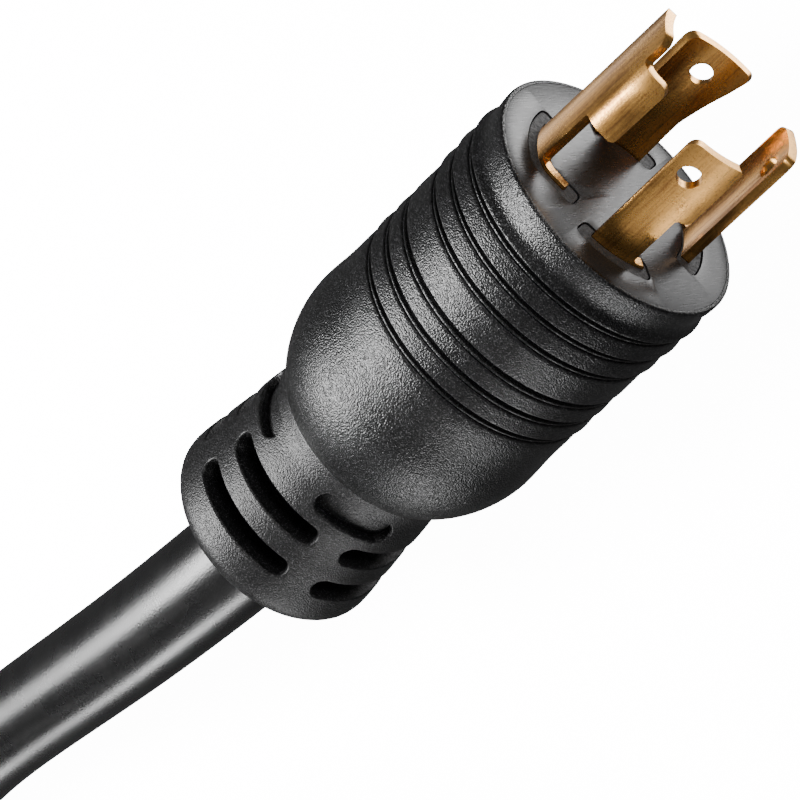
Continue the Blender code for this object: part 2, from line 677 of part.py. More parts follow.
for kind, ch in BLADES.items():
    mid = ch.spans[0][0] / 2
    w = math.radians(12.0 if kind == "ground" else 14.0) * ch.spans[0][1]
    ob = prism("connector_contact_" + kind, [band_outline(ch, mid - w, mid + w, -1.75, 1.75, 0,
                                                          mirror=True)], 4.0, 31.5)
    mouth = prism("mouth_" + kind, [band_outline(ch, mid - w - 2, mid + w + 2, -0.95, 0.95, 0,
                                                 mirror=True)], 3.0, 29.5)
    mouth.parent = conn
    cut(ob, mouth)
    b = barrel("contact_barrel_" + kind, 180 - CENTRE_DEG[kind], 9.3, 31.0, 38.5)
    b.parent = conn
    cut(ob, b, "UNION")
    finish(ob, M_BRASS, conn)

strap("cord_tie_1", 40)
strap("cord_tie_2", 205)

for ob in parts.objects:
    if ob.type == "MESH":
        ob.data.shade_smooth()
        ob.data.set_sharp_from_angle(angle=math.radians(30))
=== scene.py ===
# Looks of the shore power cord: moulded plug, strain relief, blades, the cable
# with its coil, the ties and the connector on the far end. Metres, +Z up; most
# shapes are written in millimetres behind the mating face.
import math

import bmesh
import bpy
import numpy as np
from mathutils import Matrix, Vector


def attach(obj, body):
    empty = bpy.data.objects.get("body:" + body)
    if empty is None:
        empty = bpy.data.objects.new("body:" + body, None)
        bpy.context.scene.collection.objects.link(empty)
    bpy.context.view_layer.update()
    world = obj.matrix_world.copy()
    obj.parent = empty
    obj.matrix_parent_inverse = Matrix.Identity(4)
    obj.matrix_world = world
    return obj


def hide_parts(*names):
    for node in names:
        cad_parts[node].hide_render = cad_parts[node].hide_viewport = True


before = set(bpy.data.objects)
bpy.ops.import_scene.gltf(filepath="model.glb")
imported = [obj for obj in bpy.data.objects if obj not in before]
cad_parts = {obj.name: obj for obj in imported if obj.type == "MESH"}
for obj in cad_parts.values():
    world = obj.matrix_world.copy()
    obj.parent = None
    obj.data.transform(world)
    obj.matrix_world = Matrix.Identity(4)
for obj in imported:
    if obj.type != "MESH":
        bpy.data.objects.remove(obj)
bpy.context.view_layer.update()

MM = 0.001
scene = bpy.context.scene

# ---- camera -----------------------------------------------------------------
cam_data = bpy.data.cameras.new("camera")
cam_data.sensor_fit = "HORIZONTAL"
cam_data.sensor_width = 36.0
cam_data.lens = 135.0
cam_data.clip_start = 0.01
cam_data.clip_end = 50.0
cam = bpy.data.objects.new("camera", cam_data)
scene.collection.objects.link(cam)
CAM_RIGHT = Vector((0.60078129, -0.50365094, -0.62080397))
CAM_UP = Vector((0.57677124, 0.81080752, -0.09962984))
CAM_BACK = Vector((0.55353119, -0.29820613, 0.77760937))
CAM_AT = Vector((0.20035978, -0.13500897, 0.3533125))
cam.matrix_world = Matrix((
    (CAM_RIGHT.x, CAM_UP.x, CAM_BACK.x, CAM_AT.x),
    (CAM_RIGHT.y, CAM_UP.y, CAM_BACK.y, CAM_AT.y),
    (CAM_RIGHT.z, CAM_UP.z, CAM_BACK.z, CAM_AT.z),
    (0, 0, 0, 1)))
scene.camera = cam

# ---- dimensions, mm ---------------------------------------------------------
BODY_R = 21.65
END_LEN = 87.6
BLADE_R, BLADE_T = 13.0, 1.5
BLADE_L = {"line_x": 21.3, "line_y": 22.1, "neutral": 21.65}
GROUND_R, GROUND_L = 13.65, 26.4
HOLE = {"line_x": (14.5, 16.4), "line_y": (14.7, 17.9), "neutral": (13.7, 16.9)}
SLOT_ROWS = [(75.1, 78.6, 73.0, 5.5), (67.4, 71.1, 73.0, 5.5), (60.9, 64.9, 48.0, 50.5)]
SLOT_FLOOR_R = 11.6
BANDS = [(0.0, 21.1, 6.35, 21.5), (7.8, 20.97, 10.6, 21.48), (12.05, 20.93, 14.85, 21.35),
         (16.3, 20.93, 21.9, 21.12), (23.35, 20.97, 26.15, 21.2), (27.6, 20.95, 30.4, 21.3)]
BULB_START, BULB_FULL, BULB_TIP = 31.85, 44.5, 60.68

# cable route, metres
CABLE_D = 0.018
FLOOR_Z = -BODY_R * MM
COIL_UP = 0.0017
PITCH = 0.0183
COIL_C = (-0.2186, -0.1388)
COIL_R = 0.0976
TURN_S_END = math.radians(115)
TURN_S_LEN = math.radians(185)
TURN_RAMP = math.radians(68)
CONN_YAW = math.radians(7)
CONN_REAR = (-0.0850, -0.2480)


# ---- small tools ------------------------------------------------------------
def put(ob):
    if not ob.users_collection:
        scene.collection.objects.link(ob)
    return ob


def mesh_object(name, verts, faces, mat=None, smooth=True, sharp=35.0):
    me = bpy.data.meshes.new(name)
    me.from_pydata([tuple(v) for v in verts], [], [tuple(f) for f in faces])
    me.validate()
    ob = put(bpy.data.objects.new(name, me))
    if mat is not None:
        me.materials.append(mat)
    bm = bmesh.new()
    bm.from_mesh(me)
    bmesh.ops.recalc_face_normals(bm, faces=bm.faces[:])
    bm.to_mesh(me)
    bm.free()
    if smooth:
        shade(ob, sharp)
    return ob


def shade(ob, sharp=35.0):
    ob.data.shade_smooth()
    ob.data.set_sharp_from_angle(angle=math.radians(sharp))


def applied(ob):
    """Its modifiers become its mesh."""
    bpy.context.view_layer.update()
    dg = bpy.context.evaluated_depsgraph_get()
    me = bpy.data.meshes.new_from_object(ob.evaluated_get(dg))
    old = ob.data
    ob.modifiers.clear()
    ob.data = me
    if old.users == 0 and isinstance(old, bpy.types.Mesh):
        bpy.data.meshes.remove(old)
    return ob


def cut(ob, cutter, operation="DIFFERENCE", sharp=35.0):
    m = ob.modifiers.new("cut", "BOOLEAN")
    m.operation = operation
    m.solver = "EXACT"
    m.object = cutter
    applied(ob)
    bpy.data.objects.remove(cutter, do_unlink=True)
    shade(ob, sharp)
    return ob


def join_meshes(name, obs):
    bm = bmesh.new()
    for ob in obs:
        me = ob.data
        me.transform(ob.matrix_world)
        bm.from_mesh(me)
        bpy.data.objects.remove(ob, do_unlink=True)
    me = bpy.data.meshes.new(name)
    bm.to_mesh(me)
    bm.free()
    return put(bpy.data.objects.new(name, me))


def revolve(name, prof, angles, mat=None, bump=None, closed=True, sharp=35.0):
    """prof is a closed loop of (s, r) in mm, or open from axis to axis."""
    n, m = len(prof), len(angles)
    verts, faces, index = [], [], []
    for i, (s, r) in enumerate(prof):
        if r < 1e-6:
            index.append([len(verts)] * m)
            verts.append((-s * MM, 0, 0))
            continue
        row = []
        for a in angles:
            rr = r + (bump(s, a) if bump else 0.0)
            row.append(len(verts))
            verts.append((-s * MM, rr * math.cos(a) * MM, rr * math.sin(a) * MM))
        index.append(row)
    for i in range(n if closed else n - 1):
        a, b = index[i], index[(i + 1) % n]
        for j in range(m):
            k = (j + 1) % m
            q = [a[j], a[k], b[k], b[j]]
            q = [v for t, v in enumerate(q) if v not in q[:t]]
            if len(q) > 2:
                faces.append(q)
    return mesh_object(name, verts, faces, mat, True, sharp)


def ring_angles(n, extra=()):
    base = {round(2 * math.pi * i / n, 9) for i in range(n)}
    for centre, half, count in extra:
        base = {a for a in base if abs((a - centre + math.pi) % (2 * math.pi) - math.pi) > half}
        base |= {round((centre + half * (2 * i / (count - 1) - 1)) % (2 * math.pi), 9) for i in range(count)}
    return sorted(base)


def smoothstep(x):
    x = min(max(x, 0.0), 1.0)
    return x * x * (3 - 2 * x)


# ---- materials --------------------------------------------------------------
class Nodes:
    def __init__(self, name):
        self.mat = bpy.data.materials.new(name)
        self.mat.use_nodes = True
        self.t = self.mat.node_tree
        self.b = self.t.nodes["Principled BSDF"]
        self.pos = self.add("ShaderNodeTexCoord").outputs["Object"]

    def add(self, kind, **values):
        n = self.t.nodes.new(kind)
        for k, v in values.items():
            setattr(n, k, v)
        return n

    def link(self, a, b):
        self.t.links.new(a, b)

    def set(self, **values):
        for k, v in values.items():
            self.b.inputs[k.replace("_", " ")].default_value = v

    def mapped(self, scale=(1, 1, 1), rot=(0, 0, 0), source=None):
        m = self.add("ShaderNodeMapping")
        m.inputs["Scale"].default_value = scale
        m.inputs["Rotation"].default_value = rot
        self.link(source or self.pos, m.inputs["Vector"])
        return m.outputs["Vector"]

    def noise(self, scale, detail=2.0, rough=0.5, vec=None, distortion=0.0):
        n = self.add("ShaderNodeTexNoise")
        n.inputs["Scale"].default_value = scale
        n.inputs["Detail"].default_value = detail
        n.inputs["Roughness"].default_value = rough
        n.inputs["Distortion"].default_value = distortion
        self.link(vec or self.pos, n.inputs["Vector"])
        return n.outputs["Fac"]

    def voronoi(self, scale, feature="F1", vec=None, smooth=1.0):
        n = self.add("ShaderNodeTexVoronoi", feature=feature)
        n.inputs["Scale"].default_value = scale
        if feature == "SMOOTH_F1":
            n.inputs["Smoothness"].default_value = smooth
        self.link(vec or self.pos, n.inputs["Vector"])
        return n.outputs["Distance"]

    def ramp(self, fac, stops):
        r = self.add("ShaderNodeValToRGB")
        e = r.color_ramp.elements
        while len(e) < len(stops):
            e.new(0.5)
        for q, (p, c) in zip(e, stops):
            q.position = p
            q.color = (*c, 1) if len(c) == 3 else c
        self.link(fac, r.inputs["Fac"])
        return r.outputs["Color"]

    def range(self, fac, lo, hi, a=0.0, b=1.0):
        r = self.add("ShaderNodeMapRange")
        for k, v in (("From Min", a), ("From Max", b), ("To Min", lo), ("To Max", hi)):
            r.inputs[k].default_value = v
        self.link(fac, r.inputs["Value"])
        return r.outputs["Result"]

    def math(self, op, a, b=None):
        m = self.add("ShaderNodeMath", operation=op)
        for i, v in enumerate((a, b)):
            if v is None:
                continue
            if isinstance(v, (int, float)):
                m.inputs[i].default_value = v
            else:
                self.link(v, m.inputs[i])
        return m.outputs[0]

    def mix(self, fac, a, b, blend="MIX"):
        m = self.add("ShaderNodeMix", data_type="RGBA", blend_type=blend)
        for sock, v in ((m.inputs[0], fac), (m.inputs[6], a), (m.inputs[7], b)):
            if isinstance(v, (int, float)):
                sock.default_value = v
            elif isinstance(v, tuple):
                sock.default_value = (*v, 1)
            else:
                self.link(v, sock)
        return m.outputs[2]

    def bump(self, height, distance, strength=1.0, after=None):
        b = self.add("ShaderNodeBump")
        b.inputs["Distance"].default_value = distance
        b.inputs["Strength"].default_value = strength
        self.link(height, b.inputs["Height"])
        if after is not None:
            self.link(after, b.inputs["Normal"])
        return b.outputs["Normal"]


def pvc(name, base=(0.0042, 0.0042, 0.0044), rough=(0.26, 0.31), grain=0.000086, spec=0.5):
    """Moulded soft PVC with a fine bumped grain, and pale specks painted into the colour as its sparkle (painted
    glints).
    """
    n = Nodes(name)
    cells = n.voronoi(4000, "SMOOTH_F1", smooth=0.3)
    fine = n.noise(4000, 0.5, 0.5)
    broad = n.noise(120, 3.0, 0.55)
    height = n.math("ADD", n.math("MULTIPLY", cells, -0.7), n.math("MULTIPLY", fine, 0.8))
    normal = n.bump(height, grain)
    n.link(normal, n.b.inputs["Normal"])
    tone = n.ramp(fine, [(0.3, tuple(c * 0.4 for c in base)), (0.5, base),
                         (0.7, tuple(c * 2.2 for c in base))])
    # pale specks painted into the base colour stand in for the grain's sparkle: painted glints
    painted_sparkle = n.ramp(n.noise(4200, 1.0, 0.6), [(0.60, (0, 0, 0)), (0.69, (1, 1, 1))])
    n.link(n.mix(painted_sparkle, tone, tuple(c * 17.0 for c in base)), n.b.inputs["Base Color"])
    r = n.math("ADD", n.range(broad, rough[0], rough[1], 0.3, 0.7), n.math("MULTIPLY", fine, 0.06))
    n.link(r, n.b.inputs["Roughness"])
    n.set(Specular_IOR_Level=spec)
    return n.mat


def face_plastic(name, base=(0.020, 0.0202, 0.021)):
    """Smooth moulded face with fine lines from the tool."""
    n = Nodes(name)
    lines = n.noise(1.0, 2.0, 0.5, vec=n.mapped((500, 5200, 420), (math.radians(38), 0, 0)))
    broad = n.noise(120, 3.0, 0.5)
    n.link(n.bump(n.math("ADD", lines, n.math("MULTIPLY", n.noise(2400, 2.0), 0.35)), 0.000022),
           n.b.inputs["Normal"])
    n.link(n.ramp(broad, [(0.3, tuple(c * 0.8 for c in base)), (0.7, tuple(c * 1.25 for c in base))]),
           n.b.inputs["Base Color"])
    n.link(n.range(lines, 0.26, 0.36, 0.3, 0.7), n.b.inputs["Roughness"])
    n.set(Specular_IOR_Level=0.5)
    return n.mat


def rough_plastic(name, base=(0.045, 0.045, 0.046)):
    n = Nodes(name)
    cells = n.voronoi(1500, "SMOOTH_F1", smooth=0.5)
    fine = n.noise(2200, 3.0, 0.6)
    n.link(n.bump(n.math("ADD", cells, fine), 0.00013), n.b.inputs["Normal"])
    n.link(n.ramp(fine, [(0.3, tuple(c * 0.7 for c in base)), (0.75, tuple(c * 1.5 for c in base))]),
           n.b.inputs["Base Color"])
    n.link(n.range(cells, 0.5, 0.75), n.b.inputs["Roughness"])
    return n.mat


def jacket(name):
    """Extruded rubber jacket: smooth, faint lines drawn along the cable."""
    n = Nodes(name)
    uv = n.add("ShaderNodeUVMap", uv_map="along")
    drawn = n.noise(1.0, 2.0, 0.5, vec=n.mapped((260, 5, 1), source=uv.outputs["UV"]))
    fine = n.noise(2600, 2.0, 0.5)
    scuff = n.noise(180, 5.0, 0.62)
    n.link(n.bump(n.math("ADD", n.math("MULTIPLY", drawn, 0.35), n.math("MULTIPLY", fine, 1.25)), 0.000022),
           n.b.inputs["Normal"])
    n.link(n.ramp(scuff, [(0.3, (0.004, 0.004, 0.0042)), (0.62, (0.0055, 0.0055, 0.0057)),
                          (0.8, (0.009, 0.009, 0.009))]), n.b.inputs["Base Color"])
    n.link(n.range(scuff, 0.26, 0.30, 0.3, 0.75), n.b.inputs["Roughness"])
    n.set(Specular_IOR_Level=0.5)
    return n.mat


def brass(name, tint=(0.95, 0.505, 0.145), dark=(0.52, 0.25, 0.08)):
    """Stamped brass, faintly tarnished, rolled along X."""
    n = Nodes(name)
    rolled = n.noise(1.0, 3.0, 0.6, vec=n.mapped((110, 2400, 2400)))
    cloud = n.noise(90, 3.0, 0.55)
    speck = n.noise(3300, 3.0, 0.7)
    tone = n.ramp(n.math("ADD", n.math("MULTIPLY", cloud, 0.45), n.math("MULTIPLY", rolled, 0.55)),
                  [(0.37, dark), (0.53, tint)])
    grains = n.ramp(speck, [(0.34, (0.74, 0.66, 0.58)), (0.48, (1, 1, 1))])
    n.link(n.mix(1.0, tone, grains, "MULTIPLY"), n.b.inputs["Base Color"])
    n.link(n.math("ADD", n.range(cloud, 0.20, 0.28, 0.3, 0.7), n.math("MULTIPLY", speck, 0.06)),
           n.b.inputs["Roughness"])
    n.link(n.bump(n.math("ADD", n.math("MULTIPLY", rolled, 0.8), n.noise(2600, 0.5)), 0.000012),
           n.b.inputs["Normal"])
    n.set(Metallic=0.95)
    return n.mat


def painted_reflection_edge(name):
    """The sheared rim of a stamped blade, painted pale near-white as a painted reflection of the bright
    surroundings.
    """
    n = Nodes(name)
    streak = n.noise(1.0, 2.0, 0.5, vec=n.mapped((2600, 1400, 1400)))
    # the pale cream-white colour here is a painted reflection, not the brass's own colour
    n.link(n.ramp(streak, [(0.32, (0.62, 0.58, 0.50)), (0.52, (0.88, 0.86, 0.80)), (0.7, (0.95, 0.94, 0.91))]),
           n.b.inputs["Base Color"])
    n.link(n.range(streak, 0.32, 0.5, 0.3, 0.7), n.b.inputs["Roughness"])
    n.link(n.bump(streak, 0.00002), n.b.inputs["Normal"])
    n.set(Metallic=0.65)
    return n.mat


def plain_core(name, base):
    n = Nodes(name)
    a = n.noise(300, 3.0, 0.5)
    n.link(n.ramp(a, [(0.3, tuple(c * 0.85 for c in base)), (0.7, tuple(min(1, c * 1.1) for c in base))]),
           n.b.inputs["Base Color"])
    n.link(n.range(a, 0.32, 0.5), n.b.inputs["Roughness"])
    n.link(n.bump(n.noise(2000, 2.0), 0.00002), n.b.inputs["Normal"])
    return n.mat


def webbing(name):
    """Hook-and-loop strap: woven ground with a fuzzy face."""
    n = Nodes(name)
    uv = n.add("ShaderNodeUVMap", uv_map="along").outputs["UV"]
    weave = []
    for rot in (0, math.radians(90)):
        w = n.add("ShaderNodeTexWave", wave_type="BANDS", bands_direction="X", wave_profile="SIN")
        w.inputs["Scale"].default_value = 320
        w.inputs["Distortion"].default_value = 1.2
        n.link(n.mapped((1, 1, 1), (0, 0, rot), source=uv), w.inputs["Vector"])
        weave.append(w.outputs["Fac"])
    cloth = n.math("MAXIMUM", weave[0], weave[1])
    fuzz = n.noise(2600, 5.0, 0.75, distortion=1.5)
    height = n.math("ADD", n.math("MULTIPLY", cloth, 0.8), fuzz)
    n.link(n.bump(height, 0.00022), n.b.inputs["Normal"])
    n.link(n.ramp(fuzz, [(0.3, (0.006, 0.006, 0.007)), (0.6, (0.016, 0.016, 0.017)),
                         (0.8, (0.035, 0.035, 0.036))]), n.b.inputs["Base Color"])
    n.link(n.range(cloth, 0.8, 0.95), n.b.inputs["Roughness"])
    n.set(Sheen_Weight=0.35, Sheen_Roughness=0.5)
    return n.mat


M_BODY = pvc("moulded_pvc")
M_RELIEF = pvc("moulded_pvc_relief", rough=(0.35, 0.41), grain=0.000075, spec=0.42)
M_FACE = face_plastic("face_plate_plastic")
M_PAD = rough_plastic("holder_plastic")
M_JACKET = jacket("cable_jacket_rubber")
M_BLADE = brass("blade_brass")
# the blades' cut rims: pale colour as a painted reflection
M_EDGE_PAINTED_REFLECTION = painted_reflection_edge("blade_cut_edge_painted_reflection")
M_CONTACT = brass("contact_brass", (0.80, 0.52, 0.22))
M_COPPER = brass("copper_strands", (0.80, 0.38, 0.22), (0.5, 0.2, 0.1))
M_FILL = rough_plastic("inner_pvc", (0.10, 0.10, 0.105))
M_CORE = {"line_x": plain_core("core_black", (0.015, 0.015, 0.015)),
          "line_y": plain_core("core_red", (0.42, 0.02, 0.02)),
          "neutral": plain_core("core_white", (0.72, 0.72, 0.69)),
          "ground": plain_core("core_green", (0.02, 0.24, 0.06))}
M_TIE = webbing("strap_webbing")

# ---- the CAD's own nodes ----------------------------------------------------
for name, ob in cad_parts.items():
    if "_insulation_" in name:
        mat = M_CORE[name.split("_insulation_")[1]]
    elif "_conductor_" in name:
        mat = M_COPPER
    elif "contact_holder" in name or "blade_holder" in name:
        mat = M_PAD
    elif "_contact_" in name:
        mat = M_CONTACT
    elif name.endswith("inner_fill"):
        mat = M_FILL
    elif name.startswith("blade_"):
        mat = M_BLADE
    elif "face_plate" in name:
        mat = M_FACE
    elif "tie" in name:
        mat = M_TIE
    elif name.startswith("cord") or "jacket" in name:
        mat = M_JACKET
    else:
        mat = M_BODY
    ob.data.materials.clear()
    ob.data.materials.append(mat)

# ---- cable ------------------------------------------------------------------
ROW_H = math.sqrt(3) / 2 * PITCH
LAYERS = [(1, 0), (0, 0), (-1, 0), (-.5, 1), (.5, 1), (1.5, 1), (1, 2), (0, 2), (-1, 2),
          (-.5, 3), (.5, 3), (1.5, 3)]
RUN = [(-0.0630, 0, 0), (-0.0760, 0, 0), (-0.0888, 0, 0), (-0.1000, 0.0008, -0.0004),
       (-0.1200, 0.0031, -0.0022), (-0.1420, 0.0065, -0.0052), (-0.1660, 0.0103, -0.0088),
       (-0.1900, 0.0115, -0.0111), (-0.2150, 0.0048, -0.0116), (-0.2415, -0.0112, -0.0111)]
TAIL = [(-0.2210, -0.2646, 0.0397), (-0.1960, -0.2677, 0.0367), (-0.1710, -0.2672, 0.0284),
        (-0.1460, -0.2634, 0.0172), (-0.1220, -0.2576, 0.0074), (-0.1020, -0.2513, 0.0018)]


def ease(x):
    x = min(max(x, 0.0), 1.0)
    return x * x * x * (10 - 15 * x + 6 * x * x)


def lift(a):
    s0 = 2 * math.pi - TURN_S_LEN
    if a < TURN_RAMP:
        return 1 - ease(a / TURN_RAMP)
    if a > s0:
        return 1.0
    return ease((a - s0 + TURN_RAMP) / TURN_RAMP)


def coil_seat(t):
    """(radius from the coil's centre, height) of the cable at the travelled angle t."""
    k = int(t // (2 * math.pi))
    a = t - 2 * math.pi * k
    s0 = 2 * math.pi - TURN_S_LEN
    row = ROW_H + (PITCH - ROW_H) * lift(a)

    def seat(i):
        q, layer = LAYERS[i]
        return np.array([q * PITCH, layer * row])

    k1 = min(k + 1, len(LAYERS) - 1)
    if a <= s0:
        v = seat(k)
    else:
        s = 0.5 - 0.5 * math.cos(math.pi * (a - s0) / TURN_S_LEN)
        if LAYERS[k][1] == LAYERS[k1][1]:
            v = seat(k) * (1 - s) + seat(k1) * s
        else:   # it climbs over the turn that takes its place
            under = seat(k - 1) * (1 - s) + seat(k) * s
            g0, g1 = (math.pi, math.pi / 3) if LAYERS[k][0] < 0 else (0.0, 2 * math.pi / 3)
            g = g0 + (g1 - g0) * s
            top = g if (g > math.pi / 2) == (g0 > math.pi / 2) else math.pi / 2
            v = under + PITCH * np.array([math.cos(g), math.sin(top)])
    return COIL_R + v[0], FLOOR_Z + COIL_UP + CABLE_D / 2 + v[1]


def coil_point(t):
    r, z = coil_seat(t)
    th = TURN_S_END + t
    return (COIL_C[0] + r * math.cos(th), COIL_C[1] + r * math.sin(th), z)


def smooth_curve(points, step=0.004):
    """Natural cubic spline through the points, as evenly spaced points."""
    p = np.asarray(points, float)
    n = len(p)
    t = np.concatenate([[0], np.cumsum(np.linalg.norm(np.diff(p, axis=0), axis=1))])
    h = np.diff(t)
    a, b = np.zeros((n, n)), np.zeros((n, 3))
    a[0, 0] = a[-1, -1] = 1
    for i in range(1, n - 1):
        a[i, i - 1:i + 2] = h[i - 1], 2 * (h[i - 1] + h[i]), h[i]
        b[i] = 6 * ((p[i + 1] - p[i]) / h[i] - (p[i] - p[i - 1]) / h[i - 1])
    m = np.linalg.solve(a, b)
    s = np.linspace(0, t[-1], int(t[-1] / step) + 1)
    i = np.clip(np.searchsorted(t, s, side="right") - 1, 0, n - 2)
    u, w, hh = (t[i + 1] - s)[:, None], (s - t[i])[:, None], h[i][:, None]
    return (m[i] * u ** 3 / (6 * hh) + m[i + 1] * w ** 3 / (6 * hh)
            + (p[i] / hh - m[i] * hh / 6) * u + (p[i + 1] / hh - m[i + 1] * hh / 6) * w)


yaw = (math.cos(CONN_YAW), math.sin(CONN_YAW))


def at_connector(d):
    """A point on the connector's axis, d metres past its rear end."""
    return (CONN_REAR[0] + yaw[0] * d, CONN_REAR[1] + yaw[1] * d, 0.0)


LAST_TURN = 2 * math.pi * 11 + math.radians(254) - TURN_S_END
route = ([*RUN] + [coil_point(t) for t in np.arange(0.12, LAST_TURN, math.radians(12))]
         + [*TAIL] + [at_connector(d) for d in (-0.004, 0.012, 0.0258)])
line = smooth_curve(route)
begin = int(np.argmax(line[:, 0] < -0.0870))
cable_end = at_connector(END_LEN * MM - 0.0863)
past = (line[:, 0] - cable_end[0]) * yaw[0] + (line[:, 1] - cable_end[1]) * yaw[1] + 0.0006
final = len(line) - int(np.argmax(past[::-1] < 0))
centre_line = np.vstack([[(-0.0863, 0, 0)], line[begin:final], [cable_end]])


def sweep(name, path, sides, radius, mat):
    """A closed tube along the path, with a UV map in metres along and around it."""
    p = np.asarray(path, float)
    n = len(p)
    tan = np.gradient(p, axis=0)
    tan /= np.linalg.norm(tan, axis=1)[:, None]
    nor = np.cross(tan[0], (0, 0, 1))
    nor /= np.linalg.norm(nor)
    ang = 2 * np.pi * np.arange(sides) / sides
    verts = []
    for i in range(n):
        nor = nor - tan[i] * (nor @ tan[i])
        nor /= np.linalg.norm(nor)
        bi = np.cross(tan[i], nor)
        verts.append(p[i] + radius * (np.cos(ang)[:, None] * nor + np.sin(ang)[:, None] * bi))
    verts = np.vstack(verts)
    faces = [(i * sides + j, i * sides + (j + 1) % sides, (i + 1) * sides + (j + 1) % sides,
              (i + 1) * sides + j) for i in range(n - 1) for j in range(sides)]
    faces.append(tuple(range(sides))[::-1])
    faces.append(tuple((n - 1) * sides + j for j in range(sides)))
    me = bpy.data.meshes.new(name)
    me.from_pydata(verts.tolist(), [], faces)
    along = np.concatenate([[0], np.cumsum(np.linalg.norm(np.diff(p, axis=0), axis=1))])
    uv = me.uv_layers.new(name="along")
    around = 2 * np.pi * radius
    data = np.zeros((len(me.loops), 2))
    k = 0
    for f in faces[:-2]:
        i, j = divmod(f[0], sides)
        a0, a1 = j / sides * around, (j + 1) / sides * around
        data[k:k + 4] = [(a0, along[i]), (a1, along[i]), (a1, along[i + 1]), (a0, along[i + 1])]
        k += 4
    uv.data.foreach_set("uv", data.ravel())
    me.materials.append(mat)
    ob = put(bpy.data.objects.new(name, me))
    shade(ob, 60)
    return ob


cable = sweep("cable", centre_line, 36, CABLE_D / 2, M_JACKET)
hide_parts("cord_run", "cord_coil", "cord_tail")
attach(cable, "root")


# ---- straps round the coil --------------------------------------------------
def hull(points):
    pts = sorted(map(tuple, points))

    def half(seq):
        out = []
        for p in seq:
            while len(out) > 1 and ((out[-1][0] - out[-2][0]) * (p[1] - out[-2][1])
                                    - (out[-1][1] - out[-2][1]) * (p[0] - out[-2][0])) <= 0:
                out.pop()
            out.append(p)
        return out[:-1]

    return half(pts) + half(pts[::-1])


def resampled(loop, step):
    p = np.array(loop + [loop[0]], float)
    t = np.concatenate([[0], np.cumsum(np.linalg.norm(np.diff(p, axis=0), axis=1))])
    n = int(t[-1] / step)
    s = np.linspace(0, t[-1], n, endpoint=False)
    return np.stack([np.interp(s, t, p[:, 0]), np.interp(s, t, p[:, 1])], 1)


def strap(name, deg, node):
    th = math.radians(deg)
    seats = []
    for off in (-4.5, 0, 4.5):
        for k in range(12):
            t = (th + math.radians(off) - TURN_S_END) % (2 * math.pi) + 2 * math.pi * k
            if t < LAST_TURN:
                seats.append(coil_seat(t))
    circle = [(math.cos(a), math.sin(a)) for a in np.linspace(0, 2 * math.pi, 48, endpoint=False)]
    loop = resampled(hull([(r + (CABLE_D / 2 + 0.0003) * c, z + (CABLE_D / 2 + 0.0003) * s)
                           for r, z in seats for c, s in circle]), 0.0015)
    n = len(loop)
    tan = np.roll(loop, -1, 0) - np.roll(loop, 1, 0)
    tan /= np.linalg.norm(tan, axis=1)[:, None]
    out = np.stack([tan[:, 1], -tan[:, 0]], 1)
    # it starts on the outer side, goes once round and laps over itself
    first = int(np.argmin(np.hypot(loop[:, 0] - loop[:, 0].max(), loop[:, 1] - 0.020)))
    lap = int(0.058 / 0.0015)
    thick = 0.0013
    rows = []
    for q in range(n + lap):
        i = (first + q) % n
        rise = thick * 0.5 + 0.0001
        if q < 8:
            pass
        rise += (thick + 0.0002) * smoothstep((q - n + 7) / 7)
        rows.append((loop[i] + out[i] * rise, out[i]))
    half_w, verts, faces = 0.0100, [], []
    m = len(rows)
    sec = [(-1, -0.35), (-0.985, -0.5), (0.985, -0.5), (1, -0.35), (1, 0.35), (0.985, 0.5), (-0.985, 0.5),
           (-1, 0.35)]
    fine = []
    for (a0, b0), (a1, b1) in zip(sec, sec[1:] + sec[:1]):
        cnt = 10 if abs(a1 - a0) > 1 else 1
        fine += [(a0 + (a1 - a0) * i / cnt, b0 + (b1 - b0) * i / cnt) for i in range(cnt)]
    ex = np.array([math.cos(th), math.sin(th), 0])
    et = np.array([-math.sin(th), math.cos(th), 0])
    base = np.array([COIL_C[0], COIL_C[1], 0])
    for q, (c, o) in enumerate(rows):
        d = min(q, m - 1 - q) * 0.0015
        w = half_w * (1.0 if d > 0.006 else math.sqrt(max(0.0, 1 - (1 - d / 0.006) ** 2)) * 0.35 + 0.65)
        for a, b in fine:
            p2 = c + o * (b * thick)
            verts.append(base + ex * p2[0] + np.array([0, 0, p2[1]]) + et * (a * w))
    k = len(fine)
    for q in range(m - 1):
        for j in range(k):
            faces.append((q * k + j, q * k + (j + 1) % k, (q + 1) * k + (j + 1) % k, (q + 1) * k + j))
    faces.append(tuple(range(k))[::-1])
    faces.append(tuple((m - 1) * k + j for j in range(k)))
    me = bpy.data.meshes.new(name)
    me.from_pydata([tuple(v) for v in verts], [], faces)
    uv = me.uv_layers.new(name="along")
    data = []
    for f in faces:
        for v in f:
            q, j = divmod(v, k)
            data.append((q * 0.0015, fine[j][0] * half_w))
    uv.data.foreach_set("uv", np.array(data).ravel())
    me.materials.append(M_TIE)
    bm = bmesh.new()
    bm.from_mesh(me)
    bmesh.ops.recalc_face_normals(bm, faces=bm.faces[:])
    bm.to_mesh(me)
    bm.free()
    ob = put(bpy.data.objects.new(name, me))
    shade(ob, 40)
    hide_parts(node)
    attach(ob, "root")
    return ob


tie_1 = strap("strap_1", 40, "cord_tie_1")
tie_2 = strap("strap_2", 205, "cord_tie_2")


